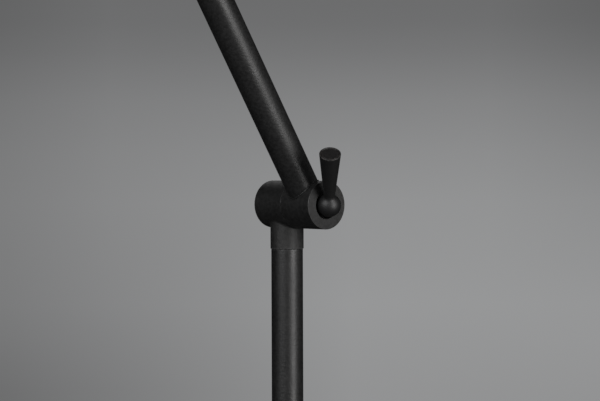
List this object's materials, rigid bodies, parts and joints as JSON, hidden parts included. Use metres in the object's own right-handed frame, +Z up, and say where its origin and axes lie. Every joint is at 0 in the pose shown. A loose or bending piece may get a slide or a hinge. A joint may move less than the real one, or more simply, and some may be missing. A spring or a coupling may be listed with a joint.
{
  "type": "adjustable arm floor lamp",
  "caption": "Floor lamp with a weighted round base, a slim pole, a lever-clamped knee, a tilting arm and a domed shade on a friction pivot.",
  "frame": {"origin": "on the floor at the centre of the base, under the pole's axis", "axes": "+Z up along the pole; the arm rises towards -X; the clamp lever faces the front, -Y"},
  "size_m": [0.6632, 0.28, 1.5832],
  "materials": {
    "powder_coat": "matte black fine-texture powder coat",
    "smooth_black": "matte black, smoother than the tubes",
    "satin_black": "satin black",
    "cast_iron": "as cast, painted grey",
    "zinc_steel": "zinc plated",
    "brass": "bright",
    "aluminium": "satin",
    "black_plastic": "moulded phenolic",
    "rubber": "matte",
    "fibre": "pressed friction fibre",
    "frosted_glass": "frosted"
  },
  "bodies": {
    "stand": {"base_pad": "rubber", "base_weight": "cast_iron", "base_cover": "powder_coat", "base_grommet": "rubber", "base_rod": "zinc_steel", "base_washer": "zinc_steel", "base_nut": "zinc_steel", "pole_foot": "powder_coat", "pole_lower": "powder_coat", "pole_coupler": "zinc_steel", "pole_upper": "powder_coat", "pole_lock_screw": "zinc_steel", "knee_hollow_half": "smooth_black", "knee_end_cap": "satin_black", "knee_friction_washer": "fibre"},
    "arm": {"knee_solid_half": "smooth_black", "knee_stop_pin_a": "zinc_steel", "knee_stop_pin_b": "zinc_steel", "clamp_spring_washer": "satin_black", "arm_tube": "powder_coat", "arm_lock_screw": "zinc_steel", "head_solid_half": "smooth_black", "head_stop_pin_a": "zinc_steel", "head_stop_pin_b": "zinc_steel", "head_screw": "zinc_steel", "head_spring_washer": "zinc_steel"},
    "lever": {"clamp_lever": "satin_black", "clamp_stud": "zinc_steel"},
    "head": {"head_hollow_half": "smooth_black", "head_end_cap": "satin_black", "head_friction_washer": "fibre", "head_stem": "powder_coat", "lampholder_cup": "powder_coat", "cup_screw_front": "zinc_steel", "cup_screw_back": "zinc_steel", "lampholder_top": "black_plastic", "lampholder_body": "black_plastic", "lampholder_shell": "brass", "lampholder_contact": "brass", "switch_body": "black_plastic", "switch_nut": "zinc_steel", "shade": "powder_coat", "shade_ring": "black_plastic", "lamp_cap": "aluminium", "lamp_glass": "frosted_glass"},
    "knob": {"switch_knob": "satin_black"}
  },
  "joints": [
    {"name": "knee", "type": "hinge", "parent": "stand", "child": "arm", "pos_m": [0, -0.0117, 1.05], "axis": [0, 1, 0], "range_deg": [-105, 45]},
    {"name": "clamp_lever_turn", "type": "hinge", "parent": "stand", "child": "lever", "pos_m": [0, -0.0406, 1.05], "axis": [0, -1, 0], "range_deg": [0, 180]},
    {"name": "head_tilt", "type": "hinge", "parent": "arm", "child": "head", "pos_m": [-0.29924, -0.01272, 1.54684], "axis": [0, 1, 0], "range_deg": [-30, 90]},
    {"name": "switch_turn", "type": "hinge", "parent": "head", "child": "knob", "pos_m": [-0.42424, -0.00204, 1.57484], "axis": [0, 0, 1], "range_deg": [0, 90]}
  ]
}
